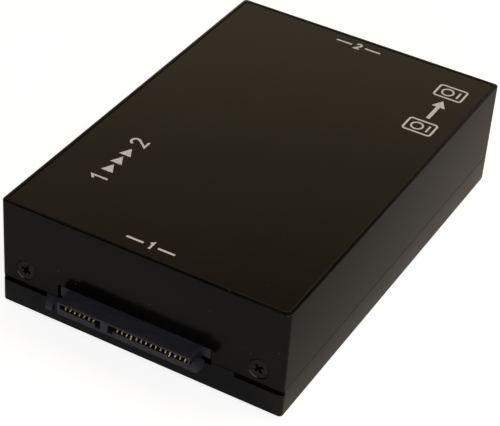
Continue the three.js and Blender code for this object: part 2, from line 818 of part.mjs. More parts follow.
// Controls on the left wall
function startButton() {
  const face = -halfWidth;
  const flangeFace = -wallX + startButtonRestGap;
  const radius = startButtonDiameter / 2;
  return turnedAlongX([
    [0, face], [radius * Math.SQRT1_2, face + startButtonCrown / 2], [radius, face + startButtonCrown],
    [radius, flangeFace], [startButtonFlangeDiameter / 2, flangeFace],
    [startButtonFlangeDiameter / 2, flangeFace + startButtonFlangeThickness],
    [0, flangeFace + startButtonFlangeThickness],
  ]);
}

function startPlunger() {
  const front = -wallX + startButtonRestGap + startButtonFlangeThickness;
  const back = controlBoardFace - startSwitchDepth + plungerEngagement;
  return turnedAlongX(pin(plungerDiameter / 2, front, back), smallRoundSteps);
}

function startSwitch() {
  const front = controlBoardFace - startSwitchDepth;
  const half = startSwitchSize / 2;
  const bore = turnedAlongX(pin(
    plungerDiameter / 2 + plungerClearance,
    front - overrun,
    front + plungerEngagement + startButtonTravel + plungerClearance,
  ), smallRoundSteps);
  return cut(block([front, -half, -half], [controlBoardFace, half, half]), [bore]);
}

function powerSwitch() {
  const front = controlBoardFace - powerSwitchDepth;
  const slotHalf = (knobLength + knobTravel) / 2 + knobClearance;
  const seat = block(
    [front - overrun, -slotHalf, -knobHeight / 2 - knobClearance],
    [front + knobSeatDepth, slotHalf, knobHeight / 2 + knobClearance],
  );
  return cut(block(
    [front, -powerSwitchLength / 2, -powerSwitchHeight / 2],
    [controlBoardFace, powerSwitchLength / 2, powerSwitchHeight / 2],
  ), [seat]);
}

function powerKnob() {
  const back = controlBoardFace - powerSwitchDepth + knobSeatDepth - knobClearance;
  return block(
    [-halfWidth + knobInset, -knobLength / 2, -knobHeight / 2],
    [back, knobLength / 2, knobHeight / 2],
  );
}

function statusLight() {
  const radius = lightDiameter / 2;
  const face = -halfWidth;
  return turnedAlongX([
    [0, face], [radius * Math.SQRT1_2, face + lightDomeHeight / 2], [radius, face + lightDomeHeight],
    [radius, controlBoardFace - lightFlangeThickness],
    [lightFlangeDiameter / 2, controlBoardFace - lightFlangeThickness],
    [lightFlangeDiameter / 2, controlBoardFace], [0, controlBoardFace],
  ], smallRoundSteps);
}

function powerInlet() {
  const face = -wallX + inletClearance;
  const mouth = -halfWidth + inletCollarInset;
  const body = block(
    [face, -inletWidth / 2, boardTop],
    [face + inletLength, inletWidth / 2, boardTop + inletHeight],
  );
  const collar = turnedAlongX(pin(inletCollarDiameter / 2, mouth, face + overrun))
    .translate(0, 0, controlLevel);
  const bore = turnedAlongX(pin(inletBoreDiameter / 2, mouth - overrun, mouth + inletBoreDepth))
    .translate(0, 0, controlLevel);
  return cut(join(body, [collar]), [bore]);
}

function inletPin() {
  const mouth = -halfWidth + inletCollarInset;
  const radius = inletPinDiameter / 2;
  return turnedAlongX([
    [0, mouth + inletPinSetback], [radius - inletPinNose / 2, mouth + inletPinSetback],
    [radius, mouth + inletPinSetback + inletPinNose],
    [radius, mouth + inletBoreDepth],
    [0, mouth + inletBoreDepth],
  ], smallRoundSteps);
}

// Components on the main board
function onBoard(shape, { xShare, yShare }) {
  return shape.translate(xShare * boardHalfWidth, yShare * boardHalfLength, boardTop);
}

function boardComponent(component) {
  const { width, length, height } = component;
  return onBoard(block([-width / 2, -length / 2, 0], [width / 2, length / 2, height]), component);
}

function crystal() {
  const { width, length, height } = crystalCan;
  return onBoard(roundedSlab(width, length, length * crystalRoundShare, 0, height), crystalCan);
}

function inductor() {
  const { width, length, height } = powerInductor;
  return onBoard(roundedSlab(width, length, inductorCornerRadius, 0, height), powerInductor);
}

function capacitor(component) {
  const { diameter, height } = component;
  const radius = diameter / 2;
  const can = turnedAlongZ([
    [0, 0],
    [radius, 0],
    [radius, capacitorGrooveRise - capacitorGroove],
    [radius - capacitorGroove, capacitorGrooveRise],
    [radius, capacitorGrooveRise + capacitorGroove],
    [radius, height - capacitorGroove],
    [radius - capacitorGroove, height],
    [0, height],
  ], smallRoundSteps);
  return onBoard(can, component);
}

// Assembly
const duplicator = new THREE.Group();

function place(parent, mesh, x = 0, y = 0, z = 0, turn = 0) {
  mesh.position.set(x, y, z);
  mesh.rotation.z = turn;
  parent.add(mesh);
  return mesh;
}

place(duplicator, piece('upper_cover', upperCover(), materials.coverPlastic));
place(duplicator, piece('bottom_tray', bottomTray(), materials.trayPlastic));
place(duplicator, piece('top_panel', topPanel(), materials.panelAcrylic));
place(duplicator, piece('circuit_board', circuitBoard(), materials.boardLaminate));

const footNames = ['foot_source_left', 'foot_source_right', 'foot_target_left', 'foot_target_right'];
fourPlaces(halfWidth - footInsetX, halfLength - footInsetY).forEach(([x, y], i) => {
  place(duplicator, piece(footNames[i], rubberFoot(), materials.footRubber), x, y);
});

fourPlaces(boardScrewX, boardScrewY).forEach(([x, y], i) => {
  const screw = piece(`board_screw_${i + 1}`, boardScrew(), materials.nickel);
  screw.rotation.x = -Math.PI / 2;
  screw.position.set(x, y, boardTop);
  duplicator.add(screw);
});

// Each end is the same: a receptacle and two case screws, turned half a turn for the target end
function caseEnd(end, turn) {
  const group = new THREE.Group();
  group.rotation.z = turn;
  [['left', -caseScrewX], ['right', caseScrewX]].forEach(([side, x]) => {
    const screw = piece(`case_screw_${end}_${side}`, caseScrew(), materials.screwSteel);
    place(group, screw, x, -halfLength + caseScrewSink, caseScrewLevel);
    screw.rotation.y = THREE.MathUtils.degToRad(caseScrewTurns[`${end}_${side}`]);
  });
  duplicator.add(group);
  return group;
}

const sourceEnd = caseEnd('source', 0);
const sourceHousing = piece('source_receptacle', receptacleHousing(false), materials.receptaclePlastic);
place(sourceEnd, sourceHousing, receptacleShift);
contactPlaces().forEach(({ name, u, ground }) => {
  place(sourceEnd, piece(name, contactStrip(ground), materials.contactGold), receptacleShift + u);
});

const targetEnd = caseEnd('target', Math.PI);
const targetHousing = piece('target_receptacle', receptacleHousing(true), materials.receptaclePlastic);
place(targetEnd, targetHousing, receptacleShift);

const controls = new THREE.Group();
controls.position.z = controlLevel;
duplicator.add(controls);
const knobRest = powerSwitchPlace - knobTravel / 2;
place(controls, piece('start_button', startButton(), materials.buttonPlastic), 0, startButtonPlace);
place(controls, piece('start_plunger', startPlunger(), materials.inletPlastic), 0, startButtonPlace);
place(controls, piece('start_switch', startSwitch(), materials.inletPlastic), 0, startButtonPlace);
place(controls, piece('power_switch', powerSwitch(), materials.nickel), 0, powerSwitchPlace);
place(controls, piece('power_knob', powerKnob(), materials.knobPlastic), 0, knobRest);
const lightNames = ['error_light', 'copy_light', 'power_light'];
const lenses = [materials.redLens, materials.blueLens, materials.greenLens];
lightPlaces().forEach((y, i) => {
  place(controls, piece(lightNames[i], statusLight(), lenses[i]), 0, y);
});

place(duplicator, piece('control_board', controlBoard(), materials.boardLaminate));
place(duplicator, piece('board_header', boardHeader(), materials.inletPlastic));
place(duplicator, piece('power_inlet', powerInlet(), materials.inletPlastic), 0, inletPlace);
place(duplicator, piece('inlet_pin', inletPin(), materials.nickel), 0, inletPlace, controlLevel);

place(duplicator, piece('controller_chip', boardComponent(controllerChip), materials.chipPlastic));
place(duplicator, piece('memory_chip', boardComponent(memoryChip), materials.chipPlastic));
place(duplicator, piece('firmware_chip', boardComponent(firmwareChip), materials.chipPlastic));
place(duplicator, piece('regulator_chip', boardComponent(regulatorChip), materials.chipPlastic));
place(duplicator, piece('crystal', crystal(), materials.nickel));
place(duplicator, piece('power_inductor', inductor(), materials.ferrite));
place(duplicator, piece('input_capacitor', capacitor(inputCapacitor), materials.canAluminium));
place(duplicator, piece('output_capacitor', capacitor(outputCapacitor), materials.canAluminium));

export default duplicator;
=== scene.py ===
# Pocket hard drive duplicator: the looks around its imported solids.
# The modelling code works in millimetres, in the solids' own frame. A piece's mesh is scaled to
# metres when the piece is finished.

import json
import math

import bmesh
import bpy
from mathutils import Matrix, Vector

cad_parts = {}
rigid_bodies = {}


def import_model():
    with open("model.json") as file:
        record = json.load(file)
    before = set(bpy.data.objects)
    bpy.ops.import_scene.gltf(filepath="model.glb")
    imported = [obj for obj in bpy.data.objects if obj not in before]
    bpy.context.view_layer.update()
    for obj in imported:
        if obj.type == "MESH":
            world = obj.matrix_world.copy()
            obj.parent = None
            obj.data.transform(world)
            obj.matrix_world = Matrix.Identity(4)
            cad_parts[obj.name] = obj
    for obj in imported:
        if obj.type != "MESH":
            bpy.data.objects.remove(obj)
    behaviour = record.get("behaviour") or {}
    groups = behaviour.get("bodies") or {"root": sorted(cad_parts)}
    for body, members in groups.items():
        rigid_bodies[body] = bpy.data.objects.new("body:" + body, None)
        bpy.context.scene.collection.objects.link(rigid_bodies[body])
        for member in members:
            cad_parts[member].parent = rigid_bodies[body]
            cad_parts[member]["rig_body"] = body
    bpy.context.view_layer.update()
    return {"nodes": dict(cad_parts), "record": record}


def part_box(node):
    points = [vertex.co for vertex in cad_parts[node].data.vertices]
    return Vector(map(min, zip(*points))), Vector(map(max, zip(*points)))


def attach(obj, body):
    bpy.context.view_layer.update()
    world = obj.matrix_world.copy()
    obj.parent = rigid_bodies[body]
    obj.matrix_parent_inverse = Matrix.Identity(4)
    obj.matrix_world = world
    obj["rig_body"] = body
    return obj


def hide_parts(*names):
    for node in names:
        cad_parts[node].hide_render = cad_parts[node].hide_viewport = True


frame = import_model()

mm = 0.001
merge_distance = 0.0005         # mm, closer than any two real corners
flat_angle = math.radians(0.5)  # faces that meet flatter than this become one
sharp_angle = math.radians(38)  # edges sharper than this are rounded


def new_object(name, data):
    """An object in the scene."""
    item = bpy.data.objects.new(name, data)
    bpy.context.scene.collection.objects.link(item)
    return item


# Camera, from a fit to the case's corners, screws and contacts in the photograph
camera_place = (161.23, -322.84, 272.47)
camera_forward = (-0.36453, 0.71868, -0.59214)
camera_right = (0.86797, 0.49254, 0.06346)
camera_lens = 129.5
sensor_width = 36
clip_near = 10
clip_far = 10000

camera_data = bpy.data.cameras.new("camera")
camera_data.lens = camera_lens
camera_data.sensor_width = sensor_width
camera_data.clip_start = clip_near * mm
camera_data.clip_end = clip_far * mm
camera = new_object("camera", camera_data)
bpy.context.scene.camera = camera
right = Vector(camera_right).normalized()
back = -Vector(camera_forward).normalized()
camera.matrix_world = Matrix.Translation(Vector(camera_place) * mm) @ Matrix(
    (right, back.cross(right), back)
).transposed().to_4x4()


# Node materials
def linear(hex_colour):
    """An sRGB hex colour as linear red, green, blue and alpha."""
    channels = [int(hex_colour[i:i + 2], 16) / 255 for i in (1, 3, 5)]
    return tuple(
        c / 12.92 if c <= 0.04045 else ((c + 0.055) / 1.055) ** 2.4 for c in channels
    ) + (1,)


def repeats(size):
    """A texture's scale for a pattern whose features are that many millimetres apart."""
    return 1 / (size * mm)


def add(tree, kind, inputs=None, **settings):
    """A shader node with its settings, its socket values and its links. An input may be a node,
    which stands for its first output."""
    node = tree.nodes.new("ShaderNode" + kind)
    for name, value in settings.items():
        setattr(node, name, value)
    for socket, value in (inputs or {}).items():
        if isinstance(value, bpy.types.Node):
            value = value.outputs[0]
        if isinstance(value, bpy.types.NodeSocket):
            tree.links.new(value, node.inputs[socket])
        else:
            node.inputs[socket].default_value = value
    return node


def new_material(name):
    """An empty node material, and the Object coordinates that its patterns read."""
    material = bpy.data.materials.new(name)
    material.use_nodes = True
    tree = material.node_tree
    tree.nodes.clear()
    return material, tree, add(tree, "TexCoord").outputs["Object"]


def finish_material(tree, inputs):
    """The surface, from its colour, roughness and other inputs."""
    add(tree, "OutputMaterial", {"Surface": add(tree, "BsdfPrincipled", inputs)})


# A colour mix has its factor in socket 0, its two colours in 6 and 7, and its colour in output 2
def between(tree, pattern, low, high, first, second):
    """One colour where a pattern is low, another where it is high, and a blend from low to high."""
    part = add(tree, "MapRange", {"Value": pattern, "From Min": low, "From Max": high})
    return add(tree, "Mix", {0: part, 6: first, 7: second}, data_type="RGBA").outputs[2]


def dust(tree, place, spacing, radius, chosen_share):
    """1 on sparse specks of dust, 0 between them."""
    cells = add(tree, "TexVoronoi", {"Vector": place, "Scale": repeats(spacing)})
    speck = add(tree, "MapRange", {
        "Value": cells.outputs["Distance"],
        "From Min": radius / spacing, "From Max": radius / spacing / 2,
    })
    random_value = add(tree, "SeparateColor", {0: cells.outputs["Color"]})
    chosen = add(tree, "Math", {0: random_value, 1: chosen_share}, operation="LESS_THAN")
    return add(tree, "Math", {0: speck, 1: chosen}, operation="MULTIPLY")


def moulded_plastic(name, colour, worn_colour, roughness, specular):
    """Black ABS from a spark-eroded mould: a fine even grain that softens reflections, faint
    handling marks and a few specks of dust. The real grain is about 0.05 mm, drawn coarser."""
    handling_size = 16
    grain_size = 0.35
    grain_depth = 0.012
    material, tree, place = new_material(name)
    handling = add(tree, "TexNoise", {
        "Vector": place, "Scale": repeats(handling_size), "Detail": 4, "Roughness": 0.6,
    })
    grain = add(tree, "TexNoise", {
        "Vector": place, "Scale": repeats(grain_size), "Detail": 2, "Roughness": 0.7,
    })
    specks = dust(tree, place, spacing=2.2, radius=0.11, chosen_share=0.3)
    handled_roughness = add(tree, "MapRange", {
        "Value": handling, "From Min": 0.3, "From Max": 0.7,
        "To Min": roughness - 0.03, "To Max": roughness + 0.05,
    })
    grain_roughness = add(tree, "MapRange", {
        "Value": grain, "From Min": 0.3, "From Max": 0.7, "To Min": -0.02, "To Max": 0.03,
    })
    clean_roughness = add(tree, "Math", {0: handled_roughness, 1: grain_roughness}, operation="ADD")
    clean = between(tree, handling, 0.35, 0.7, linear(colour), linear(worn_colour))
    dusty = add(tree, "Mix", {0: specks, 6: clean, 7: linear("#77736b")}, data_type="RGBA")
    finish_material(tree, {
        "Base Color": dusty.outputs[2],
        "Roughness": add(tree, "Math", {0: clean_roughness, 1: specks}, operation="MAXIMUM"),
        "Specular IOR Level": specular,
        "Normal": add(tree, "Bump", {"Strength": 0.2, "Distance": grain_depth * mm, "Height": grain}),
    })
    return material


def acrylic_sheet():
    """Polished black acrylic: sharp dark reflections, hairline wiping marks and a little dust."""
    smear_size = 22
    hairline_size = 0.5
    hairline_depth = 0.002
    hairline_shares = (1, 0.03, 1)  # of the pattern's scale, so that it is drawn out along y
    noise_turn = math.radians(24)   # of the noise that is drawn out, not of the hairlines
    material, tree, place = new_material("polished_black_acrylic")
    smear = add(tree, "TexNoise", {
        "Vector": place, "Scale": repeats(smear_size), "Detail": 5, "Roughness": 0.65, "Distortion": 0.6,
    })
    wiped = add(tree, "Mapping", {
        "Vector": place, "Rotation": (0, 0, noise_turn), "Scale": hairline_shares,
    })
    hairlines = add(tree, "TexNoise", {
        "Vector": wiped, "Scale": repeats(hairline_size), "Detail": 3, "Roughness": 0.7,
    })
    specks = dust(tree, place, spacing=2.0, radius=0.09, chosen_share=0.35)
    smear_roughness = add(tree, "MapRange", {
        "Value": smear, "From Min": 0.4, "From Max": 0.75, "To Min": 0.05, "To Max": 0.13,
    })
    hairline_roughness = add(tree, "MapRange", {
        "Value": hairlines, "From Min": 0.62, "From Max": 0.75, "To Min": 0, "To Max": 0.06,
    })
    clean_roughness = add(tree, "Math", {0: smear_roughness, 1: hairline_roughness}, operation="ADD")
    clean = between(tree, smear, 0.3, 0.7, linear("#0a0805"), linear("#0f0c08"))
    dusty = add(tree, "Mix", {0: specks, 6: clean, 7: linear("#6f6a60")}, data_type="RGBA")
    finish_material(tree, {
        "Base Color": dusty.outputs[2],
        "Roughness": add(tree, "Math", {0: clean_roughness, 1: specks}, operation="MAXIMUM"),
        "Specular IOR Level": 0.5,
        "Normal": add(tree, "Bump", {
            "Strength": 0.1, "Distance": hairline_depth * mm, "Height": hairlines,
        }),
    })
    return material


def machined_acrylic():
    """The machined edge of the acrylic: matt and paler than its polished face."""
    cut_size = 0.25
    cut_depth = 0.01
    material, tree, place = new_material("machined_acrylic")
    cuts = add(tree, "TexNoise", {
        "Vector": place, "Scale": repeats(cut_size), "Detail": 2, "Roughness": 0.7,
    })
    finish_material(tree, {
        "Base Color": between(tree, cuts, 0.35, 0.65, linear("#171614"), linear("#232220")),
        "Roughness": 0.55,
        "Normal": add(tree, "Bump", {"Strength": 0.3, "Distance": cut_depth * mm, "Height": cuts}),
    })
    return material


def screen_ink():
    """White screen-printing ink: matt, slightly uneven where the mesh laid it down."""
    mesh_size = 0.3
    ink_depth = 0.01
    material, tree, place = new_material("white_screen_ink")
    weave = add(tree, "TexNoise", {
        "Vector": place, "Scale": repeats(mesh_size), "Detail": 2, "Roughness": 0.6,
    })
    finish_material(tree, {
        "Base Color": between(tree, weave, 0.35, 0.65, linear("#ececea"), linear("#fcfcfa")),
        "Roughness": 0.55,
        "Normal": add(tree, "Bump", {"Strength": 0.3, "Distance": ink_depth * mm, "Height": weave}),
    })
    return material


def filled_polymer():
    """Glass-filled liquid crystal polymer: a cool dark grey with faint flow lines along the part.
    Its slots and other hollows get painted shade: there the colour goes to near black."""
    flow_size = 0.7
    flow_shares = (0.15, 1, 1)      # of the pattern's scale, so that it is drawn out along x
    fibre_size = 0.22
    fibre_depth = 0.01
    painted_shade_reach = 2
    material, tree, place = new_material("glass_filled_polymer")
    along = add(tree, "Mapping", {"Vector": place, "Scale": flow_shares})
    flow = add(tree, "TexNoise", {
        "Vector": along, "Scale": repeats(flow_size), "Detail": 4, "Roughness": 0.65, "Distortion": 0.4,
    })
    fibre = add(tree, "TexNoise", {
        "Vector": place, "Scale": repeats(fibre_size), "Detail": 2, "Roughness": 0.7,
    })
    # Painted shade: where ambient occlusion finds a hollow, the colour goes to near black
    painted_shade = add(tree, "AmbientOcclusion", {"Distance": painted_shade_reach * mm}, samples=6, only_local=True)
    body = between(tree, flow, 0.3, 0.7, linear("#2b2b32"), linear("#3a3a43"))
    finish_material(tree, {
        "Base Color": between(tree, painted_shade.outputs["AO"], 0.45, 0.75, linear("#020202"), body),
        "Roughness": add(tree, "MapRange", {
            "Value": flow, "From Min": 0.3, "From Max": 0.7, "To Min": 0.4, "To Max": 0.52,
        }),
        "Specular IOR Level": 0.45,
        "Normal": add(tree, "Bump", {"Strength": 0.4, "Distance": fibre_depth * mm, "Height": fibre}),
    })
    return material


def gold_plate():
    """Gold over nickel on stamped strip: warm, with fine drawing marks along the strip."""
    mark_size = 0.12
    mark_shares = (1, 0.08, 0.3)    # of the pattern's scale, so that it is drawn out along y
    mark_depth = 0.005
    material, tree, place = new_material("gold_plate")
    drawn = add(tree, "Mapping", {"Vector": place, "Scale": mark_shares})
    marks = add(tree, "TexNoise", {
        "Vector": drawn, "Scale": repeats(mark_size), "Detail": 3, "Roughness": 0.6,
    })
    finish_material(tree, {
        "Base Color": between(tree, marks, 0.35, 0.65, linear("#e9c98c"), linear("#feeab9")),
        "Metallic": 1.0,
        "Roughness": add(tree, "MapRange", {
            "Value": marks, "From Min": 0.3, "From Max": 0.7, "To Min": 0.36, "To Max": 0.48,
        }),
        "Normal": add(tree, "Bump", {"Strength": 0.1, "Distance": mark_depth * mm, "Height": marks}),
    })
    return material


def finished_metal(name, colour, bright_colour, roughness, mark_size, mark_shares=(1, 1, 1), painted_shade_reach=0):
    """Metal with a thin finish: nickel plate, drawn aluminium, or black oxide that is lighter
    where it is rubbed. The marks' shares draw them out along an axis. With a painted shade reach,
    recesses about that many millimetres deep get painted shade: their colour goes to near black."""
    mark_depth = 0.01
    material, tree, place = new_material(name)
    drawn = add(tree, "Mapping", {"Vector": place, "Scale": mark_shares})
    marks = add(tree, "TexNoise", {
        "Vector": drawn, "Scale": repeats(mark_size), "Detail": 4, "Roughness": 0.65,
    })
    base = between(tree, marks, 0.4, 0.7, linear(colour), linear(bright_colour))
    # Painted shade: where ambient occlusion finds a recess, such as a screw's cross, the colour goes to
    # near black
    if painted_shade_reach:
        painted_shade = add(tree, "AmbientOcclusion", {"Distance": painted_shade_reach * mm}, samples=8, only_local=True)
        base = between(tree, painted_shade.outputs["AO"], 0.75, 0.97, linear("#050505"), base)
    finish_material(tree, {
        "Base Color": base,
        "Metallic": 1.0,
        "Roughness": add(tree, "MapRange", {
            "Value": marks, "From Min": 0.3, "From Max": 0.7,
            "To Min": roughness - 0.05, "To Max": roughness + 0.08,
        }),
        "Normal": add(tree, "Bump", {"Strength": 0.2, "Distance": mark_depth * mm, "Height": marks}),
    })
    return material


def foot_rubber():
    """Polyurethane foot: matt black with a fine skin that holds a little dust."""
    skin_size = 0.4
    skin_depth = 0.02
    material, tree, place = new_material("moulded_polyurethane")
    skin = add(tree, "TexNoise", {
        "Vector": place, "Scale": repeats(skin_size), "Detail": 4, "Roughness": 0.7,
    })
    finish_material(tree, {
        "Base Color": between(tree, skin, 0.45, 0.75, linear("#1a1a1a"), linear("#2b2a28")),
        "Roughness": 0.82,
        "Specular IOR Level": 0.3,
        "Normal": add(tree, "Bump", {"Strength": 0.5, "Distance": skin_depth * mm, "Height": skin}),
    })
    return material


def circuit_laminate():
    """Glass epoxy laminate: copper traces under green solder mask on the faces, bare resin at the
    cut edges."""
    pour_size = 5
    trace_size = 1.6
    copper_depth = 0.03
    material, tree, place = new_material("circuit_laminate")
    pours = add(tree, "TexVoronoi", {
        "Vector": place, "Scale": repeats(pour_size), "Randomness": 0.6,
    }, distance="MANHATTAN", feature="DISTANCE_TO_EDGE")
    fine = add(tree, "TexVoronoi", {
        "Vector": place, "Scale": repeats(trace_size), "Randomness": 0.35,
    }, distance="MANHATTAN")
    pour = add(tree, "MapRange", {
        "Value": pours.outputs["Distance"], "From Min": 0.05, "From Max": 0.08,
    })
    traces = add(tree, "MapRange", {
        "Value": fine.outputs["Distance"], "From Min": 0.16, "From Max": 0.2, "To Min": 1, "To Max": 0,
    })
    copper = add(tree, "Math", {0: pour, 1: traces}, operation="MAXIMUM")
    mask = add(tree, "Mix", {
        0: copper, 6: linear("#0e3d22"), 7: linear("#1c5c34"),
    }, data_type="RGBA").outputs[2]
    facing = add(tree, "SeparateXYZ", {0: add(tree, "NewGeometry").outputs["True Normal"]})
    level = add(tree, "Math", {0: facing.outputs["Z"]}, operation="ABSOLUTE")
    finish_material(tree, {
        "Base Color": between(tree, level, 0.4, 0.6, linear("#a89a5e"), mask),
        "Roughness": add(tree, "MapRange", {"Value": copper, "To Min": 0.42, "To Max": 0.3}),
        "Normal": add(tree, "Bump", {"Strength": 0.5, "Distance": copper_depth * mm, "Height": copper}),
    })
    return material


def matt_plastic(name, colour, worn_colour, roughness, grain_size):
    """Filled nylon, epoxy or ferrite, moulded or pressed matt: a dry fine grain with slightly
    paler patches."""
    patch_size = 4
    grain_depth = 0.015
    material, tree, place = new_material(name)
    grain = add(tree, "TexNoise", {
        "Vector": place, "Scale": repeats(grain_size), "Detail": 3, "Roughness": 0.7,
    })
    patches = add(tree, "TexNoise", {
        "Vector": place, "Scale": repeats(patch_size), "Detail": 3, "Roughness": 0.6,
    })
    finish_material(tree, {
        "Base Color": between(tree, patches, 0.35, 0.7, linear(colour), linear(worn_colour)),
        "Roughness": add(tree, "MapRange", {
            "Value": grain, "From Min": 0.3, "From Max": 0.7,
            "To Min": roughness - 0.05, "To Max": roughness + 0.06,
        }),
        "Specular IOR Level": 0.4,
        "Normal": add(tree, "Bump", {"Strength": 0.4, "Distance": grain_depth * mm, "Height": grain}),
    })
    return material


def tinted_lens(name, colour, deep_colour):
    """Tinted diffusing epoxy: light goes in, and the cavity behind shows darker."""
    haze_size = 0.8
    material, tree, place = new_material(name)
    haze = add(tree, "TexNoise", {
        "Vector": place, "Scale": repeats(haze_size), "Detail": 3, "Roughness": 0.6,
    })
    finish_material(tree, {
        "Base Color": between(tree, haze, 0.3, 0.7, linear(deep_colour), linear(colour)),
        "Roughness": add(tree, "MapRange", {
            "Value": haze, "From Min": 0.3, "From Max": 0.7, "To Min": 0.12, "To Max": 0.2,
        }),
        "IOR": 1.52,
        "Transmission Weight": 0.35,
        "Coat Weight": 0.3,
        "Coat Roughness": 0.08,
    })
    return material


materials = {
    "cover_plastic": moulded_plastic(
        "satin_black_abs", "#020202", "#060605", roughness=0.18, specular=0.34,
    ),
    "tray_plastic": moulded_plastic(
        "satin_black_abs_tray", "#030304", "#070708", roughness=0.18, specular=0.4,
    ),
    "panel_acrylic": acrylic_sheet(),
    "receptacle_plastic": filled_polymer(),
    "contact_gold": gold_plate(),
    # The black screws get painted shade in their cross recesses
    "black_screw": finished_metal(
        "black_oxide_steel", "#353536", "#4f4f50", roughness=0.3, mark_size=0.5, painted_shade_reach=1.4,
    ),
    "foot_rubber": foot_rubber(),
    "board_laminate": circuit_laminate(),
    "black_plastic": matt_plastic("moulded_nylon", "#191919", "#212121", roughness=0.45, grain_size=0.3),
    "nickel_plate": finished_metal(
        "bright_nickel", "#b3b1ac", "#cfcdc8", roughness=0.26, mark_size=0.6, mark_shares=(1, 0.2, 1),
    ),
    "button_plastic": matt_plastic("fine_matt_abs", "#2b2b2c", "#343435", roughness=0.5, grain_size=0.2),
    "chip_plastic": matt_plastic("moulded_epoxy", "#1b1b1c", "#232324", roughness=0.6, grain_size=0.18),
    "can_aluminium": finished_metal(
        "drawn_aluminium", "#b8babd", "#d0d2d4", roughness=0.3, mark_size=0.8, mark_shares=(1, 1, 0.15),
    ),
    "ferrite": matt_plastic("pressed_ferrite", "#35353a", "#414147", roughness=0.68, grain_size=0.25),
    "green_lens": tinted_lens("green_epoxy", "#3f9a58", "#14502a"),
    "blue_lens": tinted_lens("blue_epoxy", "#3f6fc4", "#162f6b"),
    "red_lens": tinted_lens("red_epoxy", "#c04438", "#6b1712"),
}
white_ink = screen_ink()

slot_of = {row["node"]: row["material_slot"] for row in frame["record"]["subparts"]}
for node_name, node in frame["nodes"].items():
    node.data.materials.clear()
    node.data.materials.append(materials[slot_of[node_name]])


# Making pieces
def new_piece(name, mesh, material, body, replaced=()):
    """An object at the origin that rides on a body and takes its finish from a slot, if any."""
    mesh.name = name
    mesh.materials.clear()
    mesh.materials.append(material)
    piece = new_object(name, mesh)
    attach(piece, body)
    if replaced:
        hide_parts(*replaced)
    return piece


def solid_piece(name, mesh, node_name, replaced):
    """A piece with a solid's own body and finish, in place of the solids that it replaces."""
    slot = slot_of[node_name]
    return new_piece(name, mesh, materials[slot], frame["nodes"][node_name]["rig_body"], replaced)


def round_edges(piece, width, segments=2):
    """Rounds a piece's sharp edges and keeps its flat faces flat in the light."""
    bevel = piece.modifiers.new("edges", "BEVEL")
    bevel.width = width * mm
    bevel.segments = segments
    bevel.limit_method = "ANGLE"
    bevel.angle_limit = sharp_angle
    bevel.use_clamp_overlap = False
    bevel.harden_normals = True
    return piece


def mesh_of(form):
    """The mesh of a form that is in metres: smooth faces, and sharp edges where they stay crisp."""
    for face in form.faces:
        face.smooth = True
    for edge in form.edges:
        if len(edge.link_faces) == 2 and edge.calc_face_angle() > sharp_angle:
            edge.smooth = False
    mesh = bpy.data.meshes.new("form")
    form.to_mesh(mesh)
    form.free()
    return mesh


def finished(form):
    """The mesh of a form that was made in millimetres, its faces turned outwards first."""
    bmesh.ops.recalc_face_normals(form, faces=form.faces)
    form.transform(Matrix.Scale(mm, 4))
    return mesh_of(form)


def refined(node_name, name, edge, segments=2, turn=None, replaced=None):
    """A copy of a solid, its triangles merged into whole faces and its edges rounded. It replaces
    that solid, unless others or none are given."""
    form = bmesh.new()
    form.from_mesh(frame["nodes"][node_name].data)
    if turn:
        form.transform(turn)
    bmesh.ops.remove_doubles(form, verts=form.verts, dist=merge_distance * mm)
    bmesh.ops.dissolve_limit(form, angle_limit=flat_angle, verts=form.verts, edges=form.edges)
    solids = [node_name] if replaced is None else replaced
    return round_edges(solid_piece(name, mesh_of(form), node_name, solids), edge, segments)


def millimetres(node_name):
    """The low and high corners of a solid, in millimetres."""
    low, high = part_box(node_name)
    return low / mm, high / mm


def turned_form(profile, axis_place, steps=64):
    """A form turned about a line along x; the profile gives the radius at places along x."""
    form = bmesh.new()
    corners = [
        form.verts.new((along, axis_place.y + radius, axis_place.z)) for along, radius in profile
    ]
    lines = [form.edges.new(pair) for pair in zip(corners, corners[1:])]
    bmesh.ops.spin(
        form, geom=corners + lines, cent=axis_place, axis=(1, 0, 0), angle=2 * math.pi, steps=steps,
        use_merge=True,
    )
    bmesh.ops.remove_doubles(form, verts=form.verts, dist=merge_distance)
    return form


def arc(centre, radius, start, end, steps=10):
    """Points along an arc, its angles in degrees."""
    return [
        (centre[0] + radius * math.cos(a), centre[1] + radius * math.sin(a))
        for a in (math.radians(start + (end - start) * i / steps) for i in range(steps + 1))
    ]


def ribbon(form, points, width, closed=False):
    """Flat faces along a line, as wide as a stroke or a strip's thickness, mitred where it turns."""
    least_cosine = 0.5              # of half a turn's angle, so that a sharp turn's mitre stays short
    places = [Vector(point) for point in points]
    count = len(places)
    edges = []
    for i, place in enumerate(places):
        before = places[i - 1] if closed or i else None
        after = places[(i + 1) % count] if closed or i < count - 1 else None
        arriving = (place - before).normalized() if before else None
        leaving = (after - place).normalized() if after else arriving
        arriving = arriving or leaving
        along = (arriving + leaving).normalized()
        across = Vector((-along.y, along.x))
        reach = width / 2 / max(across.dot(Vector((-leaving.y, leaving.x))), least_cosine)
        edges.append((
            form.verts.new((*(place + across * reach), 0)),
            form.verts.new((*(place - across * reach), 0)),
        ))
    pairs = list(zip(edges, edges[1:])) + ([(edges[-1], edges[0])] if closed else [])
    return [form.faces.new((a[0], a[1], b[1], b[0])) for a, b in pairs]


def extruded(form, faces, height):
    """Gives flat faces a height along z."""
    raised = bmesh.ops.extrude_face_region(form, geom=faces)["geom"]
    corners = [corner for corner in raised if isinstance(corner, bmesh.types.BMVert)]
    bmesh.ops.translate(form, vec=(0, 0, height), verts=corners)


# Case
cover_edge = 0.05
tray_edge = 0.12
panel_edge = 0.14
screw_edge = 0.04

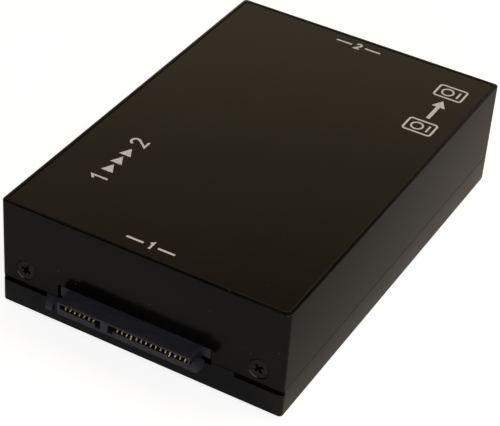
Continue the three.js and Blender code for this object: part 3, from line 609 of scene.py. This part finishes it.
refined("upper_cover", "cover_shell", cover_edge)
refined("bottom_tray", "tray_shell", tray_edge)
panel_sheet = refined("top_panel", "panel_sheet", panel_edge)
panel_sheet.data.materials.append(machined_acrylic())
panel_sheet.modifiers["edges"].material = 1
for end in ("source", "target"):
    for side in ("left", "right"):
        refined(f"case_screw_{end}_{side}", f"{end}_{side}_screw", screw_edge)

# Both receptacles: the target's solid has its contacts fused in, so it gets a turned copy of the
# source's housing and separate gold contacts
housing_edge = 0.1
contact_edge = 0.03
half_turn = Matrix.Rotation(math.pi, 4, "Z")

refined("source_receptacle", "source_housing", housing_edge)
refined("source_receptacle", "target_housing", housing_edge, turn=half_turn, replaced=["target_receptacle"])
for name in frame["nodes"]:
    if "_contact_" in name:
        refined(name, f"source_{name}", contact_edge, segments=1)
        refined(name, f"target_{name}", contact_edge, segments=1, turn=half_turn, replaced=[])

# Feet and start button: softer edges
foot_edge = 0.25
button_edge = 0.2

for name in frame["nodes"]:
    if name.startswith("foot_"):
        refined(name, f"{name}_pad", foot_edge, segments=3)
refined("start_button", "button_cap", button_edge, segments=3)

# Status lights: a domed lens in front of a flange
dome_steps = 8
lens_steps = 32
lens_flange_depth = 1.0
lens_flange_radius = 1.95
lens_radius = 1.5
lens_dome = 0.9
dome_angles = [math.pi / 2 * step / dome_steps for step in range(dome_steps, 0, -1)]

for name in ("error_light", "copy_light", "power_light"):
    low, high = millimetres(name)
    flange_front = high.x - lens_flange_depth
    lens = turned_form([
        (low.x + lens_dome * (1 - math.sin(a)), lens_radius * math.cos(a)) for a in dome_angles
    ] + [
        (low.x + lens_dome, lens_radius), (flange_front, lens_radius),
        (flange_front, lens_flange_radius), (high.x, lens_flange_radius), (high.x, 0),
    ], (low + high) / 2, lens_steps)
    solid_piece(f"{name}_lens", finished(lens), name, [name])

# Power inlet: the moulding, a nickel sleeve in its bore, the centre pin and a spring finger
inlet_edge = 0.1
sleeve_edge = 0.06
sleeve_radius = 3.12
sleeve_bore_radius = 2.9
sleeve_inset = 0.5
sleeve_length = 8.5
finger_edge = 0.05
finger_width = 1.6
finger_thickness = 0.25
finger_clearance = 0.02
finger_rise = 0.7
finger_crown = 0.1              # that the middle of the crest stands above its ends
finger_front = 1.2              # this place and the next three lie behind the sleeve's mouth
finger_crest_front = 3.2
finger_crest_back = 4.6
finger_back = 7.8

refined("power_inlet", "inlet_moulding", inlet_edge)
refined("inlet_pin", "inlet_centre_pin", inlet_edge)
pin_low, pin_high = millimetres("inlet_pin")
inlet_axis = (pin_low + pin_high) / 2
sleeve_front = millimetres("power_inlet")[0].x + sleeve_inset
sleeve_back = sleeve_front + sleeve_length
sleeve = turned_form([
    (sleeve_front, sleeve_bore_radius), (sleeve_front, sleeve_radius),
    (sleeve_back, sleeve_radius), (sleeve_back, sleeve_bore_radius), (sleeve_front, sleeve_bore_radius),
], inlet_axis)
round_edges(new_piece(
    "inlet_sleeve", finished(sleeve), materials["nickel_plate"], "case",
), sleeve_edge)

finger_foot = finger_thickness / 2 + finger_clearance
finger = bmesh.new()
extruded(finger, ribbon(finger, [
    (finger_front, finger_foot),
    (finger_crest_front, finger_rise),
    ((finger_crest_front + finger_crest_back) / 2, finger_rise + finger_crown),
    (finger_crest_back, finger_rise),
    (finger_back, finger_foot),
], finger_thickness), finger_width)
finger.transform(Matrix.Translation((
    sleeve_front, inlet_axis.y + finger_width / 2, inlet_axis.z - sleeve_bore_radius,
)) @ Matrix.Rotation(math.pi / 2, 4, "X"))
round_edges(new_piece(
    "inlet_finger", finished(finger), materials["nickel_plate"], "case",
), finger_edge)

# Slide knob with grip ribs across its face
rib_count = 3
rib_depth = 0.35
rib_share = 0.5                 # of each rib's pitch
knob_edge = 0.08

low, high = millimetres("power_knob")
rib_pitch = (high.y - low.y) / rib_count
rib_foot = low.x + rib_depth
outline = [(high.x, low.y), (rib_foot, low.y)]
for i in range(rib_count):
    rib_middle = low.y + (i + 0.5) * rib_pitch
    rib_low = rib_middle - rib_share * rib_pitch / 2
    rib_high = rib_middle + rib_share * rib_pitch / 2
    outline += [(rib_foot, rib_low), (low.x, rib_low), (low.x, rib_high), (rib_foot, rib_high)]
outline += [(rib_foot, high.y), (high.x, high.y)]
knob = bmesh.new()
extruded(knob, [knob.faces.new([knob.verts.new((x, y, low.z)) for x, y in outline])], high.z - low.z)
round_edges(solid_piece("knob_grip", finished(knob), "power_knob", ["power_knob"]), knob_edge)

# Printed marks on the panel: plain numbers, bars and arrows in white ink
ink_thickness = 0.02
ink_stroke = 0.6
panel_low, panel_high = millimetres("top_panel")


def ink_mark(name, lines, shapes, corner, reading):
    """Strokes and filled shapes, laid on the panel from a corner in a reading direction."""
    form = bmesh.new()
    faces = []
    for points, width, closed in lines:
        faces += ribbon(form, points, width, closed)
    for outline in shapes:
        faces.append(form.faces.new([form.verts.new((x, y, 0)) for x, y in outline]))
    extruded(form, faces, ink_thickness)
    form.transform(
        Matrix.Translation((*corner, panel_high.z)) @ Matrix.Rotation(math.radians(reading), 4, "Z")
    )
    new_piece(name, finished(form), white_ink, "case")


def digit_one(x, height):
    """A flag and a stem."""
    flag_share = 0.78               # of the height, as the next one is
    stem_share = 0.26
    stem = x + stem_share * height
    return ([(x, flag_share * height), (stem, height), (stem, 0)], ink_stroke, False)


def digit_two(x, height):
    """A bowl and a foot."""
    bowl_share = 0.27               # of the height
    foot_share = 2.1                # of the bowl's radius
    bowl_start = 170
    bowl_end = -40
    radius = bowl_share * height
    bowl = arc((x + radius, height - radius), radius, bowl_start, bowl_end)
    return (bowl + [(x, 0), (x + foot_share * radius, 0)], ink_stroke, False)


def arrow_head(x, low, high, length):
    """A triangle that points along the reading direction."""
    return [(x, low), (x + length, (low + high) / 2), (x, high)]


# End marks: a number between two bars, one at the source end and two at the target end
mark_height = 2.4
bar_length = 4.4
near_mark_corner = (-6.6, panel_low.y + 2.25)
far_mark_corner = (-7.2, panel_high.y - 4.35)


def end_mark(name, digit, digit_start, second_bar, corner):
    """A number between two bars, its parts placed along the reading direction."""
    bars = [
        ([(x, mark_height / 2), (x + bar_length, mark_height / 2)], ink_stroke, False)
        for x in (0, second_bar)
    ]
    ink_mark(name, bars + [digit(digit_start, mark_height)], [], corner, 0)


end_mark("near_mark", digit_one, digit_start=5.9, second_bar=8.2, corner=near_mark_corner)
end_mark("far_mark", digit_two, digit_start=5.7, second_bar=8.3, corner=far_mark_corner)

# Side mark: from one to two, with arrows between them
side_height = 4.2
side_one_start = 0.4
side_two_start = 17.4
side_arrow_count = 3
side_arrow_start = 4.4
side_arrow_pitch = 3.9
side_arrow_length = 3.1
side_arrow_inset = 0.5
side_mark_corner = (panel_low.x + 14.55, panel_low.y + 17.55)

ink_mark("side_mark", [
    digit_one(side_one_start, side_height), digit_two(side_two_start, side_height),
], [
    arrow_head(
        side_arrow_start + side_arrow_pitch * i, side_arrow_inset, side_height - side_arrow_inset,
        side_arrow_length,
    )
    for i in range(side_arrow_count)
], side_mark_corner, 90)

# Badge: two drives side by side, and an arrow from one to the other
drive_width = 5.4
drive_length = 7.4
drive_corner = 0.7
drive_corner_steps = 4
drive_stroke = 0.55
second_drive = 18.4
disc_radius = 1.5
disc_middle = 4.5
disc_end = 345                  # degrees, and the ring's last stroke closes it
disc_steps = 20
label_inset = 1.2
label_height = 1.5
detail_stroke = 0.5
shaft_start = 7.2
shaft_end = 13.4
shaft_stroke = 1
head_half_width = 1.8
head_length = 3.2
badge_corner = (panel_high.x - 3.85, panel_high.y - 31.05)


def drive_outline(x):
    """A drive's case, with round corners."""
    near_x, far_x = x + drive_corner, x + drive_width - drive_corner
    near_y, far_y = drive_corner, drive_length - drive_corner
    centres = ((far_x, far_y), (near_x, far_y), (near_x, near_y), (far_x, near_y))
    return (
        [
            point for i, centre in enumerate(centres)
            for point in arc(centre, drive_corner, 90 * i, 90 * (i + 1), drive_corner_steps)
        ],
        drive_stroke, True,
    )


badge_lines = [([(shaft_start, drive_length / 2), (shaft_end, drive_length / 2)], shaft_stroke, False)]
for x in (0, second_drive):
    badge_lines += [
        drive_outline(x),
        (
            arc((x + drive_width / 2, disc_middle), disc_radius, 0, disc_end, disc_steps),
            detail_stroke, True,
        ),
        (
            [(x + label_inset, label_height), (x + drive_width - label_inset, label_height)],
            detail_stroke, False,
        ),
    ]
ink_mark("badge", badge_lines, [arrow_head(
    shaft_end, drive_length / 2 - head_half_width, drive_length / 2 + head_half_width, head_length,
)], badge_corner, 90)

# Floor: pale, and lifted to white for the camera alone
floor_size = 6000
floor_lift = 0.78
floor_form = bmesh.new()
bmesh.ops.create_grid(floor_form, x_segments=1, y_segments=1, size=floor_size / 2 * mm)
floor = new_object("floor", mesh_of(floor_form))
floor_material, tree, _ = new_material("pale_floor")
seen = add(tree, "Math", {
    0: add(tree, "LightPath").outputs["Is Camera Ray"], 1: floor_lift,
}, operation="MULTIPLY")
both = add(tree, "AddShader", {
    0: add(tree, "BsdfDiffuse", {"Color": linear("#cfcfcf")}),
    1: add(tree, "Emission", {"Color": linear("#ffffff"), "Strength": seen}),
})
add(tree, "OutputMaterial", {"Surface": both})
floor.data.materials.append(floor_material)

# Room: pale low walls that darken upwards, a dim ceiling, and the dark side behind the camera.
# Its places are the height and the depth of a direction of length 1.
wall_foot = 0.1
wall_top = 0.52
ceiling_start = 0.66
dark_side_end = -0.1
lit_side_start = 0.3
world = bpy.data.worlds.new("studio")
bpy.context.scene.world = world
world.use_nodes = True
tree = world.node_tree
tree.nodes.clear()
direction = add(tree, "SeparateXYZ", {0: add(tree, "TexCoord").outputs["Generated"]})
height = direction.outputs["Z"]
depth = direction.outputs["Y"]
walls = between(tree, height, wall_foot, wall_top, linear("#d4d5d6"), linear("#a49578"))
lit_side = between(tree, height, wall_top, ceiling_start, walls, linear("#584c3a"))
room = between(tree, depth, dark_side_end, lit_side_start, linear("#2e2d2c"), lit_side)
add(tree, "OutputWorld", {"Surface": add(tree, "Background", {"Color": room, "Strength": 1.0})})


# Lamps: a soft key in front on the right, and a weaker warm one high on the right
def soft_lamp(name, place, size, power, colour):
    """A square lamp that faces the middle of the object's underside."""
    data = bpy.data.lights.new(name, "AREA")
    data.shape = "SQUARE"
    data.size = size * mm
    data.energy = power
    data.color = linear(colour)[:3]
    lamp = new_object(name, data)
    lamp.matrix_world = Matrix.Translation(Vector(place) * mm) @ (
        Vector(place).to_track_quat("Z", "Y").to_matrix().to_4x4()
    )


soft_lamp("key", place=(330, -760, 430), size=1000, power=5.2, colour="#ffffff")
soft_lamp("side", place=(420, 300, 760), size=500, power=2.2, colour="#ffe6cc")

bpy.context.scene.view_settings.view_transform = "Standard"
